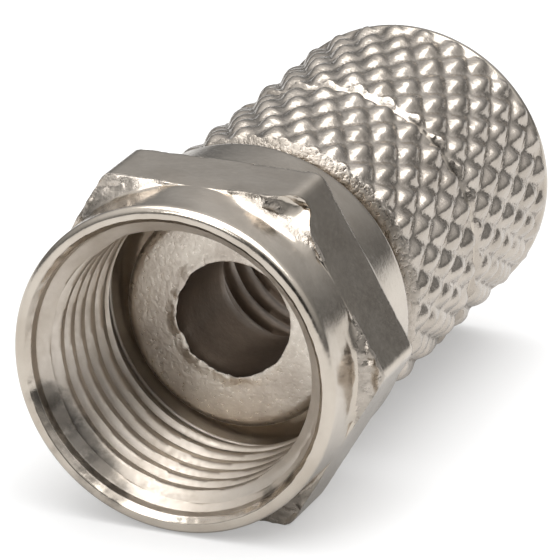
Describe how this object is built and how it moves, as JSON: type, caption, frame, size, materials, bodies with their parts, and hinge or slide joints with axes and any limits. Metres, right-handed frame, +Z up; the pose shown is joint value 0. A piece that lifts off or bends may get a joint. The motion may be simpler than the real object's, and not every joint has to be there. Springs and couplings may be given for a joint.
{
  "type": "coaxial cable connector",
  "caption": "Twist-on coaxial cable connector: a hexagon coupling nut that spins on a diamond-knurled, internally threaded sleeve.",
  "frame": {"origin": "on the connector's axis, at the front face of the body's flange, which is the mating plane inside the nut", "axes": "+Y along the axis from the nut's mouth towards the cable entry, +Z up with the nut lying on one flat of its hexagon, +X to the right seen from the nut's mouth"},
  "size_m": [0.0126, 0.0207, 0.011],
  "materials": {
    "nickel_nut": "satin",
    "nickel_body": "satin"
  },
  "bodies": {
    "sleeve": {"body_sleeve": "nickel_body"},
    "nut": {"coupling_nut": "nickel_nut"}
  },
  "joints": [
    {"name": "nut_spin", "type": "hinge", "parent": "sleeve", "child": "nut", "pos_m": [0, 0, 0], "axis": [0, 1, 0], "continuous": true}
  ]
}
